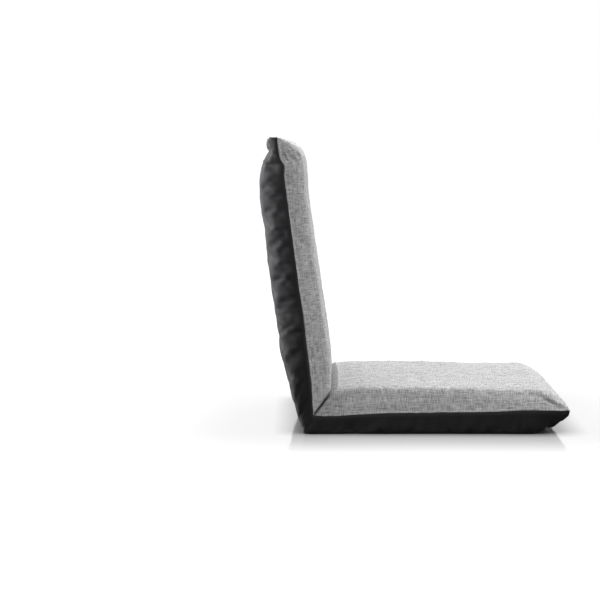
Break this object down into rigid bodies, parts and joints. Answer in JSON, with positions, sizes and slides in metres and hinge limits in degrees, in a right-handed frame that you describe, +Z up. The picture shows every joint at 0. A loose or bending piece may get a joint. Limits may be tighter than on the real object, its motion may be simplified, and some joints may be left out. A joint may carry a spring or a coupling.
{
  "type": "folding floor chair",
  "caption": "Legless floor chair: padded seat and back on steel frames joined by ratchet hinges, reclining from upright to flat and folding forward.",
  "frame": {"origin": "on the floor directly under the hinge axis, at the middle of the chair's width", "axes": "+X from the fold to the front of the seat, +Y to the sitter's left, +Z up"},
  "size_m": [0.6386, 0.52, 0.6081],
  "materials": {
    "melange_fabric": "grey melange linen-look weave",
    "black_fabric": "smooth black woven polyester",
    "foam": "open-cell polyurethane foam",
    "webbing": "woven polypropylene strap",
    "frame_steel": "black powder coat",
    "hinge_steel": "zinc-plated steel",
    "spring_steel": "tempered spring steel",
    "nylon": "natural nylon"
  },
  "bodies": {
    "seat": {"seat_cover_top": "melange_fabric", "seat_cover_bottom": "black_fabric", "seat_fold_cover": "melange_fabric", "fold_gusset": "black_fabric", "seat_foam_upper": "foam", "seat_foam_lower": "foam", "seat_fold_foam": "foam", "seat_frame_tube": "frame_steel", "seat_cross_tube": "frame_steel", "seat_webbing": "webbing", "hinge_cheek_outer_left": "hinge_steel", "hinge_cheek_inner_left": "hinge_steel", "seat_tube_lug_left": "hinge_steel", "seat_arm_rivets_left": "hinge_steel", "pivot_rivet_left": "hinge_steel", "pawl_pin_left": "hinge_steel", "pawl_spring_left": "spring_steel", "hinge_cheek_outer_right": "hinge_steel", "hinge_cheek_inner_right": "hinge_steel", "seat_tube_lug_right": "hinge_steel", "seat_arm_rivets_right": "hinge_steel", "pivot_rivet_right": "hinge_steel", "pawl_pin_right": "hinge_steel", "pawl_spring_right": "spring_steel"},
    "back": {"back_cover_front": "melange_fabric", "back_cover_rear": "black_fabric", "back_fold_cover": "melange_fabric", "back_foam_front": "foam", "back_foam_rear": "foam", "back_fold_foam": "foam", "back_frame_tube": "frame_steel", "back_cross_tube": "frame_steel", "back_webbing": "webbing", "ratchet_plate_left": "hinge_steel", "pivot_bush_left": "nylon", "back_arm_outer_left": "hinge_steel", "back_arm_inner_left": "hinge_steel", "back_tube_lug_left": "hinge_steel", "back_arm_rivets_left": "hinge_steel", "ratchet_plate_right": "hinge_steel", "pivot_bush_right": "nylon", "back_arm_outer_right": "hinge_steel", "back_arm_inner_right": "hinge_steel", "back_tube_lug_right": "hinge_steel", "back_arm_rivets_right": "hinge_steel"},
    "pawl_left": {"pawl_left": "hinge_steel"},
    "pawl_right": {"pawl_right": "hinge_steel"}
  },
  "joints": [
    {"name": "back_recline", "type": "hinge", "parent": "seat", "child": "back", "pos_m": [0, 0, 0.047], "axis": [0, -1, 0], "range_deg": [-57, 83], "deforming": ["seat_fold_cover", "back_fold_cover", "seat_fold_foam", "back_fold_foam", "fold_gusset"]},
    {"name": "pawl_left_drop", "type": "hinge", "parent": "seat", "child": "pawl_left", "pos_m": [0.02529, 0.205, 0.03599], "axis": [0, 1, 0], "range_deg": [0, 14]},
    {"name": "pawl_right_drop", "type": "hinge", "parent": "seat", "child": "pawl_right", "pos_m": [0.02529, -0.205, 0.03599], "axis": [0, 1, 0], "range_deg": [0, 14]}
  ]
}
